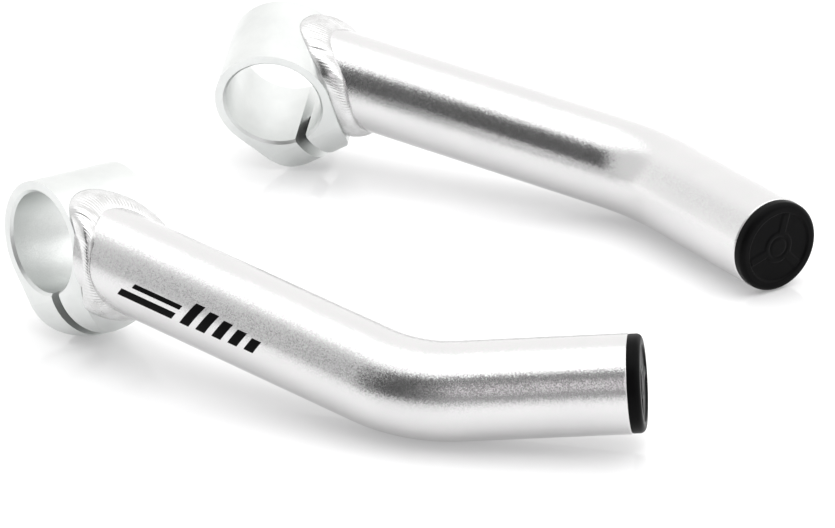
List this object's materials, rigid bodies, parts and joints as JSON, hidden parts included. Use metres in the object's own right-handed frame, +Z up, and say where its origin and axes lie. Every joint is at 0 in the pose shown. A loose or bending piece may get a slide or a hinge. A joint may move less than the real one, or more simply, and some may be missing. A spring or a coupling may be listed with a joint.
{
  "type": "bar end grip pair",
  "caption": "Mirrored bent aluminium bar end grips for a flat handlebar, each a tube welded to a split clamp ring with a pinch bolt and a black end plug.",
  "frame": {"origin": "centre of the pair's footprint, on the floor both bar ends rest on", "axes": "+X to the right and +Y away as seen from the front bar end's side, +Z up"},
  "size_m": [0.1766, 0.1728, 0.0373],
  "materials": {
    "ring_alloy": "smooth satin",
    "tube_alloy": "fine bead-blasted and clear anodised",
    "weld_alloy": "bright rippled weld",
    "bolt_steel": "black oxide",
    "washer_steel": "zinc plated",
    "plug_black": "moulded, slightly glossy"
  },
  "bodies": {
    "right_bar_end": {"right_clamp_ring": "ring_alloy", "right_grip_tube": "tube_alloy", "right_weld_bead": "weld_alloy"},
    "right_washer": {"right_bolt_washer": "washer_steel"},
    "right_bolt": {"right_pinch_bolt": "bolt_steel"},
    "right_plug": {"right_end_plug": "plug_black"},
    "left_bar_end": {"left_clamp_ring": "ring_alloy", "left_grip_tube": "tube_alloy", "left_weld_bead": "weld_alloy"},
    "left_washer": {"left_bolt_washer": "washer_steel"},
    "left_bolt": {"left_pinch_bolt": "bolt_steel"},
    "left_plug": {"left_end_plug": "plug_black"}
  },
  "joints": [
    {"name": "right_washer_travel", "type": "slide", "parent": "right_bar_end", "child": "right_washer", "axis": [-0.5814, 0.6625, -0.4723], "range_m": [0, 0.0064]},
    {"name": "right_bolt_turn", "type": "hinge", "parent": "right_washer", "child": "right_bolt", "pos_m": [-0.06728, -0.02275, 0.00784], "axis": [-0.5814, 0.6625, -0.4723], "range_deg": [0, 2880]},
    {"name": "right_plug_pull", "type": "slide", "parent": "right_bar_end", "child": "right_plug", "axis": [0.9917, -0.0958, 0.0856], "range_m": [0, 0.018]},
    {"name": "left_washer_travel", "type": "slide", "parent": "left_bar_end", "child": "left_washer", "axis": [-0.8176, 0.2751, -0.5058], "range_m": [0, 0.0064]},
    {"name": "left_bolt_turn", "type": "hinge", "parent": "left_washer", "child": "left_bolt", "pos_m": [-0.02157, 0.0737, 0.00822], "axis": [-0.8176, 0.2751, -0.5058], "range_deg": [0, 2880]},
    {"name": "left_plug_pull", "type": "slide", "parent": "left_bar_end", "child": "left_plug", "axis": [0.5573, -0.8303, -0.0072], "range_m": [0, 0.018]},
    {"name": "left_bar_end_lift", "type": "slide", "parent": "right_bar_end", "child": "left_bar_end", "axis": [0, 0, 1], "range_m": [0, 0.08]}
  ],
  "couplings": [
    {"joint": "right_bolt_turn", "follows": "right_washer_travel", "rad_per_m": 7854},
    {"joint": "left_bolt_turn", "follows": "left_washer_travel", "rad_per_m": 7854}
  ]
}
